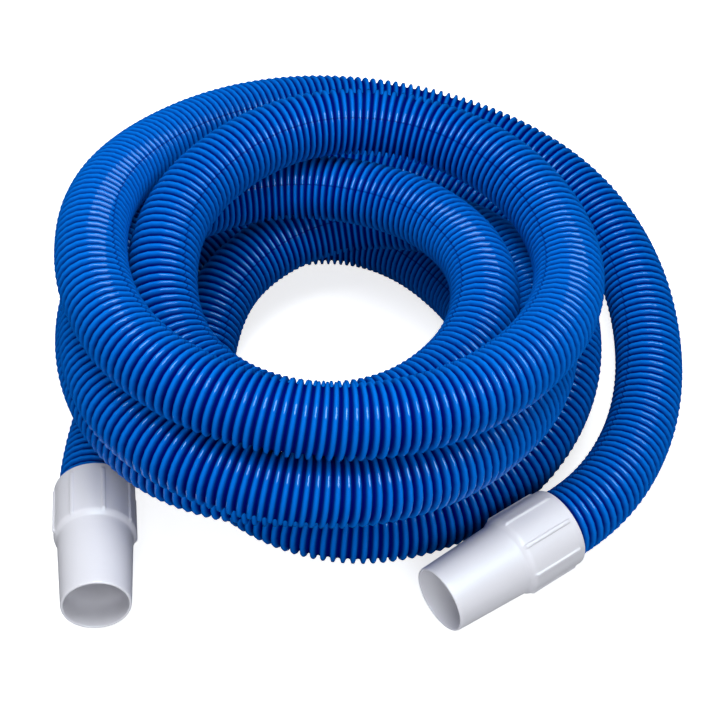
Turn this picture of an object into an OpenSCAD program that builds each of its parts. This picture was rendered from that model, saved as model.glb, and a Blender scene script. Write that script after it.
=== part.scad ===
// Vacuum hose for a swimming pool: a spiral-wound hose lying in a loose coil,
// with a white cuff on each end. One cuff turns freely on the hose, the other is fast.
// The hose is one length; it is drawn as six runs that meet face to face.

/* [Hose] */
// Outside diameter over the ribs
hose_od = 46; // [40:0.5:50]
// Inside diameter of the hose and of both cuffs
hose_bore = 38; // [30:0.5:38]
// Diameter of the plain tube that stands for the ribbed wall in the coil
tube_d = 44; // [40:0.5:44.5]
// Sides of the plain tube
tube_sides = 12; // [8:1:16]
// Length of hose that sits inside each cuff
hose_in_cuff = 34; // [26:1:36]

/* [Cuff] */
// Length from the rim of the collar to the tip of the nose
cuff_length = 96; // [90:1:110]
// Length of the collar, up to the foot of the nose
collar_length = 43; // [41:1:50]
// Diameter of the collar between its grip ribs
collar_d = 52.4; // [52:0.1:56]
// Diameter of the nose at its foot
nose_base_d = 48; // [46:0.1:50]
// Diameter of the nose at its tip
nose_tip_d = 43.4; // [42:0.1:46]
// Width of the rounded shoulder between collar and nose
shoulder = 4.5; // [2:0.5:6]
// Chamfer on the rim and on the tip
edge_chamfer = 0.8; // [0.4:0.1:1]
// Inside diameter at the mouth of the nose
mouth_d = 40; // [39:0.1:40.5]
// Length of the flared lead-in behind the mouth
lead_in = 20; // [10:1:30]

/* [Grip ribs] */
// Number of grip ribs around the collar
grip_count = 8; // [4:1:12]
// Width of a grip rib
grip_width = 2.4; // [1.5:0.1:4]
// Height of a grip rib above the collar
grip_height = 1.0; // [0.5:0.1:1.2]
// Plain band between the rim and the ribs
grip_margin = 4.5; // [2:0.5:8]
// Turn of the swivel cuff's ribs about its axis
swivel_grip_turn = 16.4; // [-22:0.5:22]
// Turn of the fixed cuff's ribs about its axis
fixed_grip_turn = 27.2; // [-22:0.5:22]

/* [Swivel] */
// Running clearance on radius between sleeve flange and collar
running_gap = 0.08; // [0.02:0.01:0.1]
// Gap between flat faces that turn past each other
face_gap = 0.3; // [0.2:0.05:0.4]
// Inside diameter of the swivel cuff's collar
swivel_bore_d = 49.4; // [49.2:0.1:49.6]
// Depth of the shoulder inside the swivel cuff
swivel_depth = 40; // [39:0.5:40.5]
// Outside diameter of the threaded sleeve
sleeve_d = 47.8; // [47.6:0.1:48]
// Distance from the rim to the sleeve
sleeve_start = 4; // [2:0.5:8]
// Thickness of the sleeve's flange
flange_length = 3; // [2:0.5:4]
// Thickness of the sleeve's inner end wall
sleeve_end = 2; // [1:0.5:2.5]
// Width of the retaining ring
retainer_length = 3.5; // [2:0.5:4]
// Depth of the ring groove in the collar
groove_depth = 0.6; // [0.3:0.1:0.7]
// Thickness of the rubber seal ring
seal_length = 2.0; // [1:0.1:2.2]
// Thickness of the slip washer
washer_length = 1.4; // [0.8:0.1:1.5]

/* [Hidden] */

$fn = 96;
hose_blue = [0.05, 0.38, 0.85];
cuff_white = [0.93, 0.94, 0.97];
seal_grey = [0.25, 0.26, 0.28];
washer_grey = [0.80, 0.81, 0.80];

hair = 0.05;
hose_r = hose_od / 2;
bore_r = hose_bore / 2;
tube_r = tube_d / 2;
collar_r = collar_d / 2;
nose_base_r = nose_base_d / 2;
nose_tip_r = nose_tip_d / 2;
mouth_r = mouth_d / 2;
swivel_bore_r = swivel_bore_d / 2;
sleeve_r = sleeve_d / 2;
fixed_bore_r = hose_r + hair;
grip_r = collar_r + grip_height;

// Route of the hose's middle line about the upright axis of the coil.
// Each station is [angle in degrees, distance from the axis, height above the floor].
// The first is at the swivel cuff's rim, the last at the fixed cuff's rim.
cuff_z = 26.9;
// The fixed cuff lies with its nose tipped up by this angle.
fixed_tip = 4;
STATIONS = [
    [-45.5, 197, cuff_z], [-36, 202, cuff_z], [-20, 207, 28], [0, 212, 36],
    [45, 224, 67], [90, 201, 100], [135, 168, 135], [180, 160, 160],
    [225, 166, 160.3], [270, 159, 149.2], [315, 151, 139],
    [360, 147, 130], [405, 137, 138], [450, 123, 147], [495, 110, 149],
    [540, 115, 141], [585, 128, 121], [630, 124, 113], [675, 105, 110],
    [720, 93, 111], [765, 90, 107], [810, 100, 104], [855, 129, 102],
    [900, 154, 114], [945, 180, 117], [990, 174, 106], [1035, 150, 92],
    [1080, 132, 81], [1125, 124, 73], [1170, 115, 61], [1215, 105, 49],
    [1260, 99, 32], [1305, 118, 24], [1350, 137, 23], [1395, 142, 23],
    [1440, 156, 37], [1485, 175, 45], [1530, 182, 51], [1575, 180, 59],
    [1620, 172, 71], [1665, 167, 71], [1710, 142, 71], [1755, 114, 60],
    [1800, 102, 38], [1845, 116, 24], [1890, 142, 23], [1935, 147, 23],
    [1980, 150, 23], [2005, 179.1, 24.5], [2014.5, 195.7, cuff_z]
];
last = len(STATIONS) - 1;
first_angle = STATIONS[0][0];
last_angle = STATIONS[last][0];
ring_step = 22.5;
run_ends = [first_angle, 315, 675, 1035, 1395, 1755, last_angle];

// Moves the coil so that the origin is under the middle of the whole object.
shift = [-20, -4.14, 0.14];

// Slope of column c at station i: the mean of the two sides, weighted by their spans.
function side_slope(i, c) = (STATIONS[i + 1][c] - STATIONS[i][c]) / (STATIONS[i + 1][0] - STATIONS[i][0]);
function span(i) = STATIONS[i + 1][0] - STATIONS[i][0];
function slope(i, c) =
    i == 0 ? side_slope(0, c) :
    i == last ? side_slope(last - 1, c) :
    (side_slope(i - 1, c) * span(i) + side_slope(i, c) * span(i - 1)) / (span(i) + span(i - 1));
function interval(a, i = 0) = i >= last - 1 || a < STATIONS[i + 1][0] ? i : interval(a, i + 1);
// Smooth curve through the stations of column c.
function hermite(a, c, i) =
    let (h = span(i), t = (a - STATIONS[i][0]) / h)
    (2 * t * t * t - 3 * t * t + 1) * STATIONS[i][c] + (t * t * t - 2 * t * t + t) * h * slope(i, c)
    + (3 * t * t - 2 * t * t * t) * STATIONS[i + 1][c] + (t * t * t - t * t) * h * slope(i + 1, c);
function route(a) =
    let (i = interval(a), r = hermite(a, 1, i))
    [r * cos(a), r * sin(a), hermite(a, 2, i)];
function unit(v) = v / norm(v);
// Heading of the level run at an end of the route.
function end_heading(i) = STATIONS[i][0] + atan2(STATIONS[i][1], slope(i, 1) * 180 / PI);
function heading(a) =
    a <= first_angle ? [cos(end_heading(0)), sin(end_heading(0)), 0] :
    a >= last_angle ? [cos(end_heading(last)) * cos(fixed_tip), sin(end_heading(last)) * cos(fixed_tip),
        sin(fixed_tip)] :
    unit(route(a + 0.5) - route(a - 0.5));

// Angles of the rings of the run from a to b: both ends, and whole steps between.
function ring_angles(a, b) =
    [a, for (n = [ceil(a / ring_step + 0.3) : floor(b / ring_step - 0.3)]) n * ring_step, b];
function ring_points(a) =
    let (p = route(a), d = heading(a), across = unit(cross(d, [0, 0, 1])), up = cross(across, d))
    [for (k = [0 : tube_sides - 1])
        p + tube_r * (cos(360 * k / tube_sides) * across + sin(360 * k / tube_sides) * up)];

swivel_rim = route(first_angle);
swivel_yaw = end_heading(0) + 180;
fixed_rim = route(last_angle);
fixed_yaw = end_heading(last);

// A run of the hose between two angles of the route.
module hose_run(i) {
    angles = ring_angles(run_ends[i], run_ends[i + 1]);
    rings = len(angles);
    points = [for (a = angles) each ring_points(a)];
    faces = [
        [for (k = [0 : tube_sides - 1]) k],
        for (j = [0 : rings - 2], k = [0 : tube_sides - 1])
            let (m = (k + 1) % tube_sides, a = j * tube_sides, b = a + tube_sides)
            each [[a + k, b + k, b + m], [a + k, b + m, a + m]],
        [for (k = [tube_sides - 1 : -1 : 0]) (rings - 1) * tube_sides + k]
    ];
    color(hose_blue) translate(shift) polyhedron(points = points, faces = faces, convexity = 10);
}

// Puts a piece drawn from the rim (z = 0) to the tip (z = cuff_length) in its place.
module at_swivel() translate(shift + swivel_rim) rotate([0, 90, swivel_yaw]) children();
module at_fixed() translate(shift + fixed_rim) rotate([0, 90 - fixed_tip, fixed_yaw]) children();

// A plain ring from z = z0 to z = z1.
module ring(r_in, r_out, z0, z1) {
    rotate_extrude()
        translate([r_in, z0]) square([r_out - r_in, z1 - z0]);
}

// Grip ribs, each running from the plain band to the shoulder.
module grips(turn) {
    for (k = [0 : grip_count - 1])
        rotate([0, 0, turn + k * 360 / grip_count])
            translate([collar_r - 0.8, -grip_width / 2, grip_margin])
                cube([grip_height + 0.8, grip_width, collar_length - shoulder * 0.8 - grip_margin]);
}

// Cuff moulding; socket_r and socket_depth are the hole that takes the hose.
module cuff(socket_r, socket_depth, turn) {
    c = edge_chamfer;
    rotate_extrude()
        polygon([
            [socket_r, 0], [collar_r - c, 0], [collar_r, c], [collar_r, collar_length - shoulder],
            [collar_r - 0.3, collar_length - shoulder * 0.55],
            [collar_r - 1.0, collar_length - shoulder * 0.2],
            [nose_base_r, collar_length],
            [nose_tip_r, cuff_length - c], [nose_tip_r - c, cuff_length],
            [mouth_r + 0.4, cuff_length], [mouth_r, cuff_length - 0.6],
            [bore_r + 0.4, cuff_length - lead_in + 1], [bore_r, cuff_length - lead_in],
            [bore_r, socket_depth], [socket_r, socket_depth]
        ]);
    grips(turn);
}

// Sleeve flange, ring and washer positions, measured from the rim.
sleeve_stop = sleeve_start + 32;
flange_start = sleeve_stop - flange_length;
retainer_stop = flange_start - face_gap;
groove_r = swivel_bore_r + groove_depth;

module hose_turn_1() hose_run(0);
module hose_turn_2() hose_run(1);
module hose_turn_3() hose_run(2);
module hose_turn_4() hose_run(3);
module hose_turn_5() hose_run(4);
module hose_turn_6() hose_run(5);

module hose_end_swivel() {
    color(hose_blue) at_swivel() ring(bore_r, hose_r, 0, hose_in_cuff);
}

module hose_end_fixed() {
    color(hose_blue) at_fixed() ring(bore_r, hose_r, 0, hose_in_cuff);
}

// Outer moulding of the turning end, with an inside groove for the retaining ring.
module swivel_cuff() {
    color(cuff_white) at_swivel() difference() {
        cuff(swivel_bore_r, swivel_depth, swivel_grip_turn);
        ring(swivel_bore_r - 1, groove_r, retainer_stop - retainer_length, retainer_stop);
    }
}

// Threaded sleeve on the hose: the cuff turns on its flange.
module swivel_sleeve() {
    color(cuff_white) at_swivel() rotate_extrude()
        polygon([
            [hose_r + hair, sleeve_start], [sleeve_r, sleeve_start], [sleeve_r, flange_start],
            [swivel_bore_r - running_gap, flange_start], [swivel_bore_r - running_gap, sleeve_stop],
            [bore_r + 0.5, sleeve_stop], [bore_r + 0.5, sleeve_stop - sleeve_end + hair],
            [hose_r + hair, sleeve_stop - sleeve_end + hair]
        ]);
}

// Ring pressed into the collar's groove: it stops the flange from pulling out.
module swivel_retainer() {
    color(cuff_white) at_swivel()
        ring(sleeve_r + face_gap, groove_r, retainer_stop - retainer_length, retainer_stop);
}

// Slip washer against the shoulder inside the cuff.
module swivel_washer() {
    color(washer_grey) at_swivel()
        ring(bore_r + 0.8, swivel_bore_r - hair, swivel_depth - washer_length, swivel_depth);
}

// Rubber ring on the end of the sleeve.
module swivel_seal() {
    color(seal_grey) at_swivel()
        ring(bore_r + 0.8, hose_r + 0.5, sleeve_stop, sleeve_stop + seal_length);
}

// Moulding of the fast end, screwed and bonded onto the hose.
module fixed_cuff() {
    color(cuff_white) at_fixed() cuff(fixed_bore_r, hose_in_cuff + seal_length, fixed_grip_turn);
}

// Flat rubber ring between the hose's end and the shoulder inside the fixed cuff.
module fixed_seal() {
    color(seal_grey) at_fixed()
        ring(bore_r + 0.4, hose_r - 0.1, hose_in_cuff, hose_in_cuff + seal_length);
}

hose_turn_1();
hose_turn_2();
hose_turn_3();
hose_turn_4();
hose_turn_5();
hose_turn_6();
hose_end_swivel();
hose_end_fixed();
swivel_cuff();
swivel_sleeve();
swivel_retainer();
swivel_washer();
swivel_seal();
fixed_cuff();
fixed_seal();
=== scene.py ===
import bpy
import math
import numpy as np
from mathutils import Matrix, Vector


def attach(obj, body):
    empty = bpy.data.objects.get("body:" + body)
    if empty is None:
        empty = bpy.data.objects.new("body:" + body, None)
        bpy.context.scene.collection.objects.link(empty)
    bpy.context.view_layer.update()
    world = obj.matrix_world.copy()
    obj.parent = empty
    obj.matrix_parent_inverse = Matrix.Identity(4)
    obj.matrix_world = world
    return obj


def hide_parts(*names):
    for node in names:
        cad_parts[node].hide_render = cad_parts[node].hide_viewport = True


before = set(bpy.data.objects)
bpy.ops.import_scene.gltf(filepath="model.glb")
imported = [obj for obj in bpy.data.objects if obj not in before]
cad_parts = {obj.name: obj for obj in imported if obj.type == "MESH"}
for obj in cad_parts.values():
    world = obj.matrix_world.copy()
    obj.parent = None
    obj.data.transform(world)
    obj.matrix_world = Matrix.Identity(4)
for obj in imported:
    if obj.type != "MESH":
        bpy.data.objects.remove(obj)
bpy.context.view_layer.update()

# camera

cameraSetup = {
    "place": (-0.0085, -0.80829, 0.87758),
    "tiltDown": 44.34,      # degrees below the horizon
    "lens": 83.7,
    "sensor": 36,
    "shiftY": -0.082,
    "clip": (0.05, 20),
}


def addCamera(setup):
    data = bpy.data.cameras.new("studioCamera")
    data.lens = setup["lens"]
    data.sensor_width = setup["sensor"]
    data.shift_y = setup["shiftY"]
    data.clip_start, data.clip_end = setup["clip"]
    camera = bpy.data.objects.new("studioCamera", data)
    camera.location = setup["place"]
    camera.rotation_euler = (math.radians(90 - setup["tiltDown"]), 0, 0)
    bpy.context.scene.collection.objects.link(camera)
    bpy.context.scene.camera = camera


addCamera(cameraSetup)

# the way the hose lies

hose = {
    "outerRadius": 0.023,
    "boreRadius": 0.019,
    "inCuff": 0.034,        # length of hose inside each cuff
    "routeStep": 1.5,       # degrees between points of the route
    "sides": 20,
    "cornerGrowth": 1.009,  # corners stand out, so the flats between them keep the true size
    "ribPitch": 0.00555,
    "ribHeight": 0.0033,
    "ribShape": (1.0, 0.91, 0.14, 0.0, 0.14, 0.91),     # rib height along one pitch, as a share
    "ribPlaces": (0.0, 0.16, 0.31, 0.50, 0.69, 0.84),   # where along the pitch each height is
    "ribFade": 0.004,       # the ribs die away over this length at each end
    "floorGap": 0.0002,     # lowest that a rib may reach, so it flattens on the floor
    "openDepth": 0.15,      # how far the open bore is built from each end
    "boreRings": 16,
    "boreRise": 0.3,        # rib height given to the bore, so the painted valley shade darkens the inside of the hose
    "shift": (-0.020, -0.00414, 0.00014),   # where the coil's axis stands in the frame
}

cuffHeight = 0.0269         # height of a cuff's middle line at its rim
# angle in degrees, distance from the coil's axis, height of the middle line
stations = [
    (-45.5, 0.197, cuffHeight), (-36, 0.202, cuffHeight), (-20, 0.207, 0.028),
    (0, 0.212, 0.036), (45, 0.224, 0.067), (90, 0.201, 0.100), (135, 0.168, 0.135),
    (180, 0.160, 0.160), (225, 0.166, 0.1603), (270, 0.159, 0.1492), (315, 0.151, 0.139),
    (360, 0.147, 0.130), (405, 0.137, 0.138), (450, 0.123, 0.147), (495, 0.110, 0.149),
    (540, 0.115, 0.141), (585, 0.128, 0.121), (630, 0.124, 0.113), (675, 0.105, 0.110),
    (720, 0.093, 0.111), (765, 0.090, 0.107), (810, 0.100, 0.104), (855, 0.129, 0.102),
    (900, 0.154, 0.114), (945, 0.180, 0.117), (990, 0.174, 0.106), (1035, 0.150, 0.092),
    (1080, 0.132, 0.081), (1125, 0.124, 0.073), (1170, 0.115, 0.061), (1215, 0.105, 0.049),
    (1260, 0.099, 0.032), (1305, 0.118, 0.024), (1350, 0.137, 0.023), (1395, 0.142, 0.023),
    (1440, 0.156, 0.037), (1485, 0.175, 0.045), (1530, 0.182, 0.051), (1575, 0.180, 0.059),
    (1620, 0.172, 0.071), (1665, 0.167, 0.071), (1710, 0.142, 0.071), (1755, 0.114, 0.060),
    (1800, 0.102, 0.038), (1845, 0.116, 0.024), (1890, 0.142, 0.023), (1935, 0.147, 0.023),
    (1980, 0.150, 0.023), (2005, 0.1791, 0.0245), (2014.5, 0.1957, cuffHeight),
]


def stationSlopes(column):
    # slope at each station, weighted so that the nearer neighbour counts more
    angles = [s[0] for s in stations]
    values = [s[column] for s in stations]
    spans = [b - a for a, b in zip(angles, angles[1:])]
    rises = [(b - a) / h for a, b, h in zip(values, values[1:], spans)]
    inner = [(rises[i - 1] * spans[i] + rises[i] * spans[i - 1]) / (spans[i] + spans[i - 1])
             for i in range(1, len(spans))]
    return [rises[0]] + inner + [rises[-1]]


radiusSlopes = stationSlopes(1)
heightSlopes = stationSlopes(2)


def smoothBetween(angle, column, slopes):
    i = 0
    while i < len(stations) - 2 and angle >= stations[i + 1][0]:
        i += 1
    span = stations[i + 1][0] - stations[i][0]
    t = (angle - stations[i][0]) / span
    return ((2 * t ** 3 - 3 * t ** 2 + 1) * stations[i][column]
            + (t ** 3 - 2 * t ** 2 + t) * span * slopes[i]
            + (3 * t ** 2 - 2 * t ** 3) * stations[i + 1][column]
            + (t ** 3 - t ** 2) * span * slopes[i + 1])


def routePoint(angle):
    turn = math.radians(angle)
    radius = smoothBetween(angle, 1, radiusSlopes)
    height = smoothBetween(angle, 2, heightSlopes)
    spot = Vector((radius * math.cos(turn), radius * math.sin(turn), height))
    return spot + Vector(hose["shift"])


def endYaw(i, slope):
    # which way the route heads at a station, in degrees
    return stations[i][0] + math.degrees(math.atan2(stations[i][1], math.degrees(slope)))


def noseWay(end):
    yaw, tip = math.radians(end["yaw"]), math.radians(end["tip"])
    return Vector((math.cos(yaw) * math.cos(tip), math.sin(yaw) * math.cos(tip), math.sin(tip)))


# each cuff's rim, the way its nose points, and how far the nose is tipped up
swivelEnd = {"rim": routePoint(stations[0][0]), "yaw": endYaw(0, radiusSlopes[0]) + 180, "tip": 0}
fixedEnd = {"rim": routePoint(stations[-1][0]), "yaw": endYaw(-1, radiusSlopes[-1]), "tip": 4}


def hosePath():
    start, stop = stations[0][0], stations[-1][0]
    angles = np.linspace(start, stop, round((stop - start) / hose["routeStep"]) + 1)
    first = swivelEnd["rim"] + noseWay(swivelEnd) * hose["inCuff"]
    last = fixedEnd["rim"] + noseWay(fixedEnd) * hose["inCuff"]
    lead = [first, (first + swivelEnd["rim"]) / 2]
    tail = [(last + fixedEnd["rim"]) / 2, last]
    return np.array(lead + [routePoint(angle) for angle in angles] + tail)


path = hosePath()
alongPath = np.concatenate([[0], np.cumsum(np.linalg.norm(np.diff(path, axis=0), axis=1))])
hoseLength = float(alongPath[-1])
headings = np.gradient(path, alongPath, axis=0)
print(f"hose route: {hoseLength:.3f} m in {len(path)} points")


def framesAt(distances):
    # middle point, level sideways way and upward way at each distance along the hose
    points = np.stack([np.interp(distances, alongPath, path[:, i]) for i in range(3)], -1)
    heads = np.stack([np.interp(distances, alongPath, headings[:, i]) for i in range(3)], -1)
    heads /= np.linalg.norm(heads, axis=-1, keepdims=True)
    across = np.stack([heads[..., 1], -heads[..., 0], np.zeros_like(heads[..., 0])], -1)
    across /= np.linalg.norm(across, axis=-1, keepdims=True)
    return points, across, np.cross(across, heads)


def meshObject(name, verts, faces, smooth=True):
    mesh = bpy.data.meshes.new(name)
    mesh.from_pydata([tuple(v) for v in verts], [], faces)
    mesh.validate()
    mesh.polygons.foreach_set("use_smooth", [smooth] * len(mesh.polygons))
    mesh.update()
    thing = bpy.data.objects.new(name, mesh)
    bpy.context.scene.collection.objects.link(thing)
    return thing


def addPointValues(thing, name, values):
    layer = thing.data.attributes.new(name, "FLOAT", "POINT")
    layer.data.foreach_set("value", np.asarray(values, dtype=np.float32))


def ribGrid():
    # corners of the ribs, row after row, and each row climbs one pitch a turn
    sides, shape = hose["sides"], hose["ribShape"]
    steps = len(shape)
    rows = int(math.ceil((hoseLength / hose["ribPitch"] + 1) * steps)) + 1
    row, side = np.meshgrid(np.arange(rows), np.arange(sides), indexing="ij")
    pitches = row // steps + np.array(hose["ribPlaces"])[row % steps] + side / sides
    raw = (pitches - 1) * hose["ribPitch"]
    along = np.clip(raw, 0, hoseLength)
    fade = np.clip(np.minimum(along, hoseLength - along) / hose["ribFade"], 0, 1)
    rise = np.array(shape)[row % steps] * fade
    radius = (hose["outerRadius"] - hose["ribHeight"] * (1 - rise)) * hose["cornerGrowth"]
    turn = 2 * math.pi * side / sides
    points, across, up = framesAt(along)
    outward = np.cos(turn)[..., None] * across + np.sin(turn)[..., None] * up
    corners = points + radius[..., None] * outward
    corners[..., 2] = np.maximum(corners[..., 2], hose["floorGap"])
    return raw, rise, corners


def makeHose():
    sides, steps = hose["sides"], len(hose["ribShape"])
    raw, rise, corners = ribGrid()
    rows = len(raw)
    verts, rises, places, faces = [], [], [], []

    def keep(point, height, place):
        verts.append(point)
        rises.append(height)
        places.append(place)
        return len(verts) - 1

    def addFace(ring):
        ring = list(dict.fromkeys(int(v) for v in ring))
        if len(ring) > 2:
            faces.append(ring)

    # rows that stop at an end share that end's ring
    startRing = [keep(corners[0, b], 0, b / sides) for b in range(sides)]
    stopRing = [keep(corners[-1, b], 0, b / sides) for b in range(sides)]
    number = np.zeros((rows, sides), dtype=int)
    for a in range(rows):
        for b in range(sides):
            if raw[a, b] <= 0:
                number[a, b] = startRing[b]
            elif raw[a, b] >= hoseLength:
                number[a, b] = stopRing[b]
            else:
                number[a, b] = keep(corners[a, b], rise[a, b], b / sides)

    for a in range(rows - 1):
        for b in range(sides):
            # the last side meets the first one a pitch further on
            c, skip = (b + 1, 0) if b < sides - 1 else (0, steps)
            if a + 1 + skip < rows:
                beyond = [number[a + 1 + skip, c], number[a + skip, c]]
            else:
                beyond = [stopRing[c]]
            addFace([number[a, b], number[a + 1, b]] + beyond)
    for a in range(steps):      # closes the first turn of the seam
        addFace([number[a, 0], number[a + 1, 0], startRing[-1]])

    # cut faces and the open bore at both ends
    for ring, start, way in ((startRing, 0.0, 1), (stopRing, hoseLength, -1)):
        before = ring
        for depth in np.linspace(0, hose["openDepth"], hose["boreRings"]):
            spot, across, up = framesAt(np.array(start + way * depth))
            fresh = []
            for b in range(sides):
                turn = 2 * math.pi * b / sides
                outward = math.cos(turn) * across + math.sin(turn) * up
                # the bore takes the painted valley shade through its rib height
                fresh.append(keep(spot + hose["boreRadius"] * outward, hose["boreRise"], 0))
            for b in range(sides):
                c = (b + 1) % sides
                faces.append([before[b], before[c], fresh[c], fresh[b]][::way])
            before = fresh
        faces.append(before[::way])
    tube = meshObject("hoseTube", verts, faces)
    # rib height, which in hoseBlue also sets the painted shade between the ribs
    addPointValues(tube, "ribRise", rises)
    addPointValues(tube, "around", places)
    return tube


hoseTube = makeHose()
print(f"hose mesh: {len(hoseTube.data.polygons)} faces")

# the cuffs

cuff = {
    "length": 0.096,
    "collarLength": 0.043,
    "collarRadius": 0.0262,
    "noseFoot": 0.024,
    "noseTip": 0.0217,
    "boreRadius": 0.019,
    "mouthRadius": 0.020,
    "leadIn": 0.020,
    "ribs": 8,
    "ribHeight": 0.001,
    "ribHalfWidth": 2.6,    # degrees
    "ribEdge": 0.6,         # how much a rib's top wears, against a sharp edge
    "plainColumns": 6,      # strips between one rib and the next
}
cuffKinds = {
    "swivel": {"end": swivelEnd, "socket": 0.0247, "depth": 0.040, "ribTurn": 16.4},
    "fixed": {"end": fixedEnd, "socket": 0.02305, "depth": 0.036, "ribTurn": 27.2},
}


def endMatrix(end):
    yaw, tip = math.radians(end["yaw"]), math.radians(end["tip"])
    turned = Matrix.Rotation(yaw, 4, "Z") @ Matrix.Rotation(math.pi / 2 - tip, 4, "Y")
    return Matrix.Translation(end["rim"]) @ turned


def cuffSection(socket, depth):
    # distance from the rim, radius, share of grip rib, share of edge
    mm = 0.001
    collar, bore, mouth = cuff["collarRadius"], cuff["boreRadius"], cuff["mouthRadius"]
    foot, tip, total = cuff["noseFoot"], cuff["noseTip"], cuff["length"]

    def nose(along):
        return foot + (tip - foot) * (along - cuff["collarLength"]) / (total - cuff["collarLength"])

    rows = [
        # socket for the hose, then the rear edge
        (depth, socket, 0, 0), (depth * 0.6, socket, 0, 0), (0.004, socket, 0, 0),
        (0.0006, socket, 0, 0.4), (0.00015, socket + 0.15 * mm, 0, 0.9), (0, socket + 0.5 * mm, 0, 1),
        (0, collar - 0.7 * mm, 0, 1), (0.00012, collar - 0.3 * mm, 0, 1),
        (0.0004, collar - 0.06 * mm, 0, 0.9), (0.0008, collar, 0, 0.5),
        # collar with its grip ribs
        (0.002, collar, 0, 0), (0.0038, collar, 0, 0), (0.0045, collar, 0.45, 0),
        (0.0051, collar, 0.9, 0), (0.0058, collar, 1, 0), (0.012, collar, 1, 0),
        (0.020, collar, 1, 0), (0.028, collar, 1, 0), (0.035, collar, 1, 0),
        (0.0375, collar, 1, 0.1), (0.0384, collar, 1, 0.5),
        # shoulder, where the ribs run out
        (0.0389, collar - 0.05 * mm, 0.95, 0.8), (0.0394, collar - 0.16 * mm, 0.7, 0.9),
        (0.0400, collar - 0.34 * mm, 0.35, 0.8), (0.0406, collar - 0.58 * mm, 0.1, 0.6),
        (0.0413, collar - 0.92 * mm, 0, 0.5), (0.0420, collar - 1.32 * mm, 0, 0.3),
        (0.0426, collar - 1.7 * mm, 0, 0.1), (0.0431, collar - 1.97 * mm, 0, 0),
    ]
    # tapered nose
    rows += [(0.0437, foot + 0.09 * mm, 0, 0), (0.0446, nose(0.0446) + 0.01 * mm, 0, 0)]
    rows += [(along, nose(along), 0, 0) for along in (0.047, 0.056, 0.066, 0.076, 0.086, 0.092)]
    rows += [
        # front edge and the mouth
        (total - 0.0012, nose(total - 0.0012), 0, 0.3), (total - 0.0006, tip - 0.08 * mm, 0, 0.8),
        (total - 0.00018, tip - 0.3 * mm, 0, 1), (total, tip - 0.65 * mm, 0, 1),
        (total, mouth + 0.55 * mm, 0, 1), (total - 0.00015, mouth + 0.25 * mm, 0, 1),
        (total - 0.0005, mouth + 0.06 * mm, 0, 0.7), (total - 0.0011, mouth, 0, 0.2),
        # lead-in, bore, and the shoulder that the hose stops at
        (total - 0.006, mouth - 0.17 * mm, 0, 0), (total - 0.012, mouth - 0.37 * mm, 0, 0),
        (total - cuff["leadIn"] + 0.001, bore + 0.4 * mm, 0, 0), (total - cuff["leadIn"], bore, 0, 0),
        (total - 0.030, bore, 0, 0), ((total + depth) / 2 - 0.012, bore, 0, 0),
        (depth + 0.0004, bore, 0, 0), (depth, bore + 0.3 * mm, 0, 0), (depth, socket - 0.3 * mm, 0, 0),
    ]
    return rows


def ribColumns():
    # angles round the cuff, closer together at each grip rib, with the rib's height there
    profile = [(-1.55, 0), (-1.2, 0.12), (-1.0, 0.5), (-0.78, 0.92), (-0.45, 1), (0, 1),
               (0.45, 1), (0.78, 0.92), (1.0, 0.5), (1.2, 0.12), (1.55, 0)]
    halfWidth, strips = cuff["ribHalfWidth"], cuff["plainColumns"]
    gap = 360 / cuff["ribs"]
    edge = halfWidth * profile[-1][0]
    columns = []
    for n in range(cuff["ribs"]):
        columns += [(n * gap + place * halfWidth, height) for place, height in profile]
        columns += [(n * gap + edge + (gap - 2 * edge) * f / strips, 0) for f in range(1, strips)]
    return columns


def makeCuff(name, kind):
    rows = cuffSection(kind["socket"], kind["depth"])
    columns = ribColumns()
    place = endMatrix(kind["end"])
    verts, edges = [], []
    for along, radius, ribShare, edge in rows:
        for degrees, rib in columns:
            turn = math.radians(degrees + kind["ribTurn"])
            r = radius + cuff["ribHeight"] * ribShare * rib
            verts.append(place @ Vector((r * math.cos(turn), r * math.sin(turn), along)))
            onTop = rib > 0.7
            edges.append(min(1, edge + cuff["ribEdge"] * ribShare * onTop))
    n = len(columns)
    faces = []
    for a in range(len(rows)):
        b = (a + 1) % len(rows)
        for c in range(n):
            d = (c + 1) % n
            faces.append((a * n + c, a * n + d, b * n + d, b * n + c))
    shell = meshObject(name, verts, faces)
    addPointValues(shell, "edgeShare", edges)
    return shell


swivelShell = makeCuff("swivelCuffShell", cuffKinds["swivel"])
fixedShell = makeCuff("fixedCuffShell", cuffKinds["fixed"])
print("cuffs: swivel and fixed")

# how the pieces move

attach(hoseTube, "hose")
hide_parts("hose_turn_1", "hose_turn_2", "hose_turn_3", "hose_turn_4", "hose_turn_5", "hose_turn_6",
            "hose_end_swivel", "hose_end_fixed")
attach(fixedShell, "hose")
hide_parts("fixed_cuff")
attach(swivelShell, "swivel_end")
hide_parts("swivel_cuff")

# shader groups

def newGroup(name, inputs, outputs):
    group = bpy.data.node_groups.new(name, "ShaderNodeTree")
    for label, default in inputs.items():
        socket = group.interface.new_socket(name=label, in_out="INPUT", socket_type="NodeSocketFloat")
        socket.default_value = default
    for label in outputs:
        group.interface.new_socket(name=label, in_out="OUTPUT", socket_type="NodeSocketFloat")
    return group, group.nodes.new("NodeGroupInput"), group.nodes.new("NodeGroupOutput")


def addNode(tree, kind, label=None, inputs=None, **settings):
    # an input that is another node's socket is linked, any other is set
    node = tree.nodes.new(kind)
    if label:
        node.label = label
    for key, value in settings.items():
        setattr(node, key, value)
    for key, value in (inputs or {}).items():
        if hasattr(value, "is_linked"):
            tree.links.new(value, node.inputs[key])
        else:
            node.inputs[key].default_value = value
    return node


def doMath(tree, operation, *terms, clamp=False):
    node = addNode(tree, "ShaderNodeMath", inputs=dict(enumerate(terms)), operation=operation,
                   use_clamp=clamp)
    return node.outputs[0]


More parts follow.
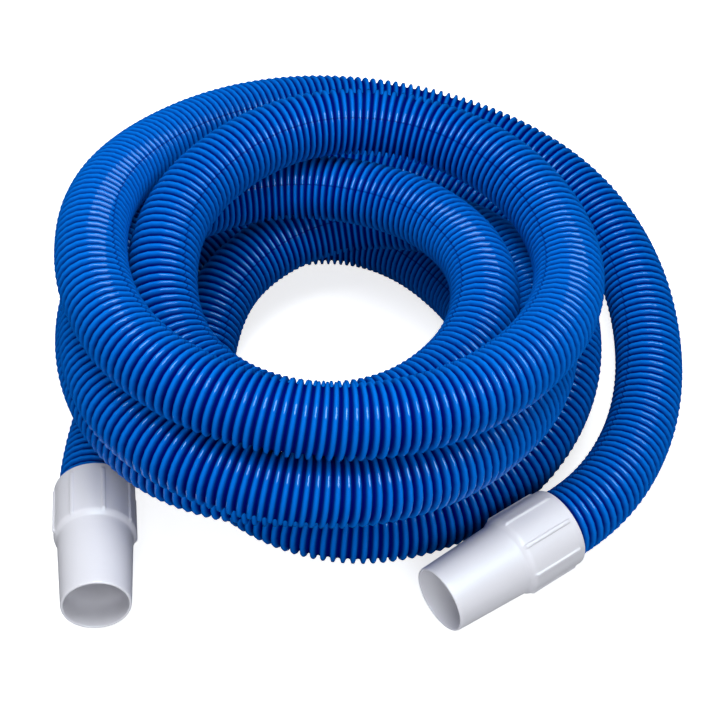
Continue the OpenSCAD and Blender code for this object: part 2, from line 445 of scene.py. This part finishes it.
def mixTint(tree, factor, a, b):
    # a colour Mix keeps its two colours in sockets 6 and 7
    node = addNode(tree, "ShaderNodeMix", inputs={0: factor, 6: a, 7: b}, data_type="RGBA")
    return node.outputs[2]


def useGroup(tree, group, inputs):
    return addNode(tree, "ShaderNodeGroup", inputs=inputs, node_tree=group).outputs


def makeMouldedGrain():
    # fine grain of moulded plastic, with slow waves in the surface
    group, start, stop = newGroup("mouldedGrain", {"Grain Size": 0.001, "Grain": 1.0, "Waves": 1.0},
                                  ("Height", "Patches"))
    spot = addNode(group, "ShaderNodeTexCoord").outputs["Object"]
    size = doMath(group, "DIVIDE", 1.0, start.outputs["Grain Size"])
    fine = addNode(group, "ShaderNodeTexNoise", "fine grain",
                   {"Vector": spot, "Scale": size, "Detail": 3})
    slow = addNode(group, "ShaderNodeTexNoise", "slow waves",
                   {"Vector": spot, "Scale": 55, "Detail": 2})
    grain = doMath(group, "MULTIPLY", fine.outputs["Fac"], start.outputs["Grain"])
    waves = doMath(group, "MULTIPLY", slow.outputs["Fac"], start.outputs["Waves"])
    group.links.new(doMath(group, "ADD", grain, waves), stop.inputs["Height"])
    group.links.new(slow.outputs["Fac"], stop.inputs["Patches"])
    return group


def makeHandlingMarks():
    # rubbed edges and a few faint scuffs
    group, start, stop = newGroup("handlingMarks", {"Edge": 0.0, "Rub": 0.5, "Scuffs": 0.3},
                                  ("Rubbed", "Scuffed"))
    spot = addNode(group, "ShaderNodeTexCoord").outputs["Object"]
    patch = addNode(group, "ShaderNodeTexNoise", "rub patches",
                    {"Vector": spot, "Scale": 140, "Detail": 4})
    rubbed = doMath(group, "MULTIPLY", patch.outputs["Fac"], start.outputs["Edge"])
    rubbed = doMath(group, "MULTIPLY", rubbed, start.outputs["Rub"], clamp=True)
    stretch = addNode(group, "ShaderNodeMapping", "long scuffs",
                      {"Vector": spot, "Scale": (300, 90, 160), "Rotation": (0.3, 0.5, 0.9)})
    scuff = addNode(group, "ShaderNodeTexNoise", "scuffs",
                    {"Vector": stretch.outputs["Vector"], "Scale": 1, "Detail": 5, "Roughness": 0.65})
    sharp = addNode(group, "ShaderNodeMapRange", "only the peaks",
                    {"Value": scuff.outputs["Fac"], "From Min": 0.58, "From Max": 0.75})
    scuffed = doMath(group, "MULTIPLY", sharp.outputs["Result"], start.outputs["Scuffs"], clamp=True)
    group.links.new(rubbed, stop.inputs["Rubbed"])
    group.links.new(scuffed, stop.inputs["Scuffed"])
    return group


mouldedGrain = makeMouldedGrain()
handlingMarks = makeHandlingMarks()

# materials

def newMaterial(name, shader):
    material = bpy.data.materials.new(name)
    material.use_nodes = True
    tree = material.node_tree
    principled = tree.nodes["Principled BSDF"]
    for key, value in shader.items():
        principled.inputs[key].default_value = value
    return material, tree, principled


def readPointValues(tree, name, label):
    return addNode(tree, "ShaderNodeAttribute", label, attribute_name=name).outputs["Fac"]


def addBump(tree, principled, height, finish):
    bump = addNode(tree, "ShaderNodeBump", inputs={
        "Strength": finish["bump"], "Distance": finish["bumpDepth"], "Height": height})
    tree.links.new(bump.outputs["Normal"], principled.inputs["Normal"])


hosePlastic = {
    "crest": (0.0005, 0.136, 0.61, 1),
    "patch": (0.0005, 0.108, 0.54, 1),
    # valley: painted shade, the dark navy that the colour falls to in the hollows between ribs; the mould
    # line is drawn in it too
    "valley": (0.0001, 0.001, 0.12, 1),
    "rubbed": (0.01, 0.24, 0.78, 1),
    "ior": 1.45,
    "specular": 0.0,        # only the coat on the ribs shines
    "coatRoughness": 0.07,
    "patchShare": 0.3,
    "shadePower": 1.3,      # how fast the painted shade deepens down a rib's side into its valley
    "roughness": 0.2,
    "valleyRoughness": 0.55,
    "patchRoughness": 0.1,
    "scuffRoughness": 0.5,
    "gloss": 0.95,
    "glossPower": 4.0,      # keeps the gloss on the tops of the ribs
    "grainSize": 0.0009,
    "grain": 0.5,
    "waves": 0.5,
    "rub": 0.14,
    "scuffs": 0.10,
    "seamPlace": 0.375,     # share of the way round
    "seamWidth": 0.006,
    "seamShade": 0.75,
    "seamGroove": 1.5,
    "bump": 0.12,
    "bumpDepth": 0.0002,
}


def makeHoseBlue():
    p = hosePlastic
    material, tree, principled = newMaterial("hoseBlue", {
        "IOR": p["ior"], "Specular IOR Level": p["specular"],
        "Coat Roughness": p["coatRoughness"], "Coat IOR": p["ior"]})
    rise = readPointValues(tree, "ribRise", "height of the rib")
    around = readPointValues(tree, "around", "place round the hose")
    grain = useGroup(tree, mouldedGrain, {
        "Grain Size": p["grainSize"], "Grain": p["grain"], "Waves": p["waves"]})
    marks = useGroup(tree, handlingMarks, {"Edge": rise, "Rub": p["rub"], "Scuffs": p["scuffs"]})
    # painted shade: the colour darkens with the rib's height, from the tops down into the valleys
    shade = doMath(tree, "POWER", rise, p["shadePower"])

    # mould line along the hose
    offset = doMath(tree, "ABSOLUTE", doMath(tree, "SUBTRACT", around, p["seamPlace"]))
    seam = addNode(tree, "ShaderNodeMapRange", "mould line", {
        "Value": offset, "From Min": 0, "From Max": p["seamWidth"], "To Min": 1, "To Max": 0})
    seam = seam.outputs["Result"]

    patches = doMath(tree, "MULTIPLY", grain["Patches"], p["patchShare"])
    colour = mixTint(tree, patches, p["crest"], p["patch"])
    # painted shade between the ribs: the rib tops keep the blue, the valleys fall to dark navy
    colour = mixTint(tree, shade, p["valley"], colour)
    colour = mixTint(tree, marks["Rubbed"], colour, p["rubbed"])
    colour = mixTint(tree, doMath(tree, "MULTIPLY", seam, p["seamShade"]), colour, p["valley"])
    tree.links.new(colour, principled.inputs["Base Color"])

    gloss = doMath(tree, "MULTIPLY", doMath(tree, "POWER", rise, p["glossPower"]), p["gloss"])
    gloss = doMath(tree, "SUBTRACT", gloss, marks["Scuffed"], clamp=True)
    tree.links.new(gloss, principled.inputs["Coat Weight"])

    deeper = p["valleyRoughness"] - p["roughness"]
    rough = doMath(tree, "MULTIPLY", doMath(tree, "SUBTRACT", 1.0, shade), deeper)
    rough = doMath(tree, "ADD", rough, doMath(tree, "MULTIPLY", grain["Patches"], p["patchRoughness"]))
    rough = doMath(tree, "ADD", rough, p["roughness"] - p["patchRoughness"] / 2)
    rough = doMath(tree, "ADD", rough, doMath(tree, "MULTIPLY", marks["Scuffed"], p["scuffRoughness"]))
    tree.links.new(rough, principled.inputs["Roughness"])

    height = doMath(tree, "SUBTRACT", grain["Height"], doMath(tree, "MULTIPLY", seam, p["seamGroove"]))
    addBump(tree, principled, height, p)
    return material


# what the moulded pieces share
moulding = {
    "ior": 1.48,
    "grain": 0.6,
    "waves": 0.6,
    "scuffs": 0.10,
    "patchShare": 0.35,
    "patchRoughness": 0.1,
    "rubbedPaler": 1.12,
    "rubbedSmoother": 0.1,
    "scuffRoughness": 0.25,
    "bump": 0.10,
    "bumpDepth": 0.0002,
}
finishes = {
    "cuffWhite": {"base": (0.69, 0.675, 0.72, 1), "deep": (0.65, 0.64, 0.69, 1),
                  "roughness": 0.42, "grainSize": 0.0007, "rub": 0.6},
    "sleeveWhite": {"base": (0.62, 0.63, 0.66, 1), "deep": (0.54, 0.55, 0.58, 1),
                    "roughness": 0.45, "grainSize": 0.0007, "rub": 0.0},
    "washerGrey": {"base": (0.50, 0.51, 0.50, 1), "deep": (0.44, 0.45, 0.45, 1),
                   "roughness": 0.4, "grainSize": 0.0006, "rub": 0.0},
    "sealRubber": {"base": (0.018, 0.018, 0.020, 1), "deep": (0.012, 0.012, 0.013, 1),
                   "roughness": 0.6, "grainSize": 0.0005, "rub": 0.0},
}


def makeMoulded(name, finish):
    # a base, a slightly deeper tone in patches, and paler rubbed edges
    m = moulding
    material, tree, principled = newMaterial(name, {"IOR": m["ior"]})
    edge = readPointValues(tree, "edgeShare", "share of edge")
    grain = useGroup(tree, mouldedGrain, {
        "Grain Size": finish["grainSize"], "Grain": m["grain"], "Waves": m["waves"]})
    marks = useGroup(tree, handlingMarks, {"Edge": edge, "Rub": finish["rub"], "Scuffs": m["scuffs"]})

    paler = tuple(min(1, c * m["rubbedPaler"]) for c in finish["base"][:3]) + (1,)
    tone = doMath(tree, "MULTIPLY", grain["Patches"], m["patchShare"])
    tone = mixTint(tree, tone, finish["base"], finish["deep"])
    tone = mixTint(tree, marks["Rubbed"], tone, paler)
    tree.links.new(tone, principled.inputs["Base Color"])

    rough = doMath(tree, "MULTIPLY", grain["Patches"], m["patchRoughness"])
    rough = doMath(tree, "ADD", rough, finish["roughness"] - m["patchRoughness"] / 2)
    rough = doMath(tree, "SUBTRACT", rough, doMath(tree, "MULTIPLY", marks["Rubbed"], m["rubbedSmoother"]))
    rough = doMath(tree, "ADD", rough, doMath(tree, "MULTIPLY", marks["Scuffed"], m["scuffRoughness"]))
    tree.links.new(rough, principled.inputs["Roughness"])
    addBump(tree, principled, grain["Height"], m)
    return material


def giveMaterial(thing, material):
    thing.data.materials.clear()
    thing.data.materials.append(material)


hoseBlue = makeHoseBlue()
moulded = {name: makeMoulded(name, finish) for name, finish in finishes.items()}

giveMaterial(hoseTube, hoseBlue)
giveMaterial(swivelShell, moulded["cuffWhite"])
giveMaterial(fixedShell, moulded["cuffWhite"])
for node, finish in (("swivel_sleeve", "sleeveWhite"), ("swivel_retainer", "sleeveWhite"),
                     ("swivel_washer", "washerGrey"), ("swivel_seal", "sealRubber"),
                     ("fixed_seal", "sealRubber")):
    giveMaterial(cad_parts[node], moulded[finish])
print("materials: hose blue, cuff white, sleeve, washer, seal")

# floor and light

studio = {
    "floorSize": 6,
    "floorColour": (0.80, 0.80, 0.80, 1),
    "floorBounce": (0.52, 0.52, 0.53, 1),   # how pale the floor is in the light that it throws back
    "floorGlow": 0.75,      # keeps the floor near white under the soft shadows
    "glowTint": (1, 1, 1, 1),
    "floorRoughness": 0.9,
    "floorSpecular": 0.1,
    "sky": (0.96, 0.98, 1.0, 1),
    "skyStrength": 0.3,
    "lampTint": {"diffuse": (0.94, 0.98, 1.0), "glossy": (0.66, 0.90, 1.0)},
    "lampAim": (0, 0, 0.08),
}
lights = {
    # name: place, width, depth, watts, and whether it lights the surfaces or shows in their gloss
    "overhead": ((-0.05, -0.02, 1.42), 0.8, 0.8, 17.5, "diffuse"),
    "softLeft": ((-1.25, -0.3, 1.2), 0.9, 0.9, 2, "diffuse"),
    "front": ((0.2, -1.4, 0.9), 0.9, 0.7, 11, "diffuse"),
    "streak": ((0.40, -0.54, 1.35), 1.2, 0.75, 36, "glossy"),
}


def addFloor():
    half = studio["floorSize"] / 2
    ring = [(-half, -half, 0), (half, -half, 0), (half, half, 0), (-half, half, 0)]
    floor = meshObject("studioFloor", ring, [(0, 1, 2, 3)], smooth=False)
    material, tree, principled = newMaterial("floorWhite", {
        "Base Color": studio["floorColour"], "Roughness": studio["floorRoughness"],
        "Specular IOR Level": studio["floorSpecular"], "Emission Color": studio["glowTint"],
        "Emission Strength": studio["floorGlow"]})
    bounce = addNode(tree, "ShaderNodeBsdfDiffuse", "what lights the object",
                     {"Color": studio["floorBounce"]})
    rays = addNode(tree, "ShaderNodeLightPath")
    mix = addNode(tree, "ShaderNodeMixShader", inputs={
        0: rays.outputs["Is Camera Ray"], 1: bounce.outputs["BSDF"], 2: principled.outputs["BSDF"]})
    tree.links.new(mix.outputs["Shader"], tree.nodes["Material Output"].inputs["Surface"])
    giveMaterial(floor, material)
    floor.visible_glossy = False        # a dark surround in the gloss keeps the blue clean


def addLamps():
    for name, (place, width, depth, watts, seenBy) in lights.items():
        data = bpy.data.lights.new(name, "AREA")
        data.shape = "RECTANGLE"
        data.size, data.size_y = width, depth
        data.energy = watts
        data.color = studio["lampTint"][seenBy]
        lamp = bpy.data.objects.new(name, data)
        lamp.location = place
        away = (Vector(place) - Vector(studio["lampAim"])).normalized()
        side = Vector((0, 1, 0)).cross(away).normalized()       # the depth runs front to back
        lamp.rotation_euler = Matrix((side, away.cross(side), away)).transposed().to_euler()
        lamp.visible_diffuse = seenBy == "diffuse"
        lamp.visible_glossy = seenBy == "glossy"
        bpy.context.scene.collection.objects.link(lamp)


def addSky():
    world = bpy.data.worlds.new("studioSky")
    world.use_nodes = True
    sky = world.node_tree.nodes["Background"]
    sky.inputs["Color"].default_value = studio["sky"]
    sky.inputs["Strength"].default_value = studio["skyStrength"]
    world.cycles_visibility.glossy = False
    bpy.context.scene.world = world


addFloor()
addLamps()
addSky()
bpy.context.scene.view_settings.view_transform = "Standard"     # so the blue keeps its depth
print("floor and lights")
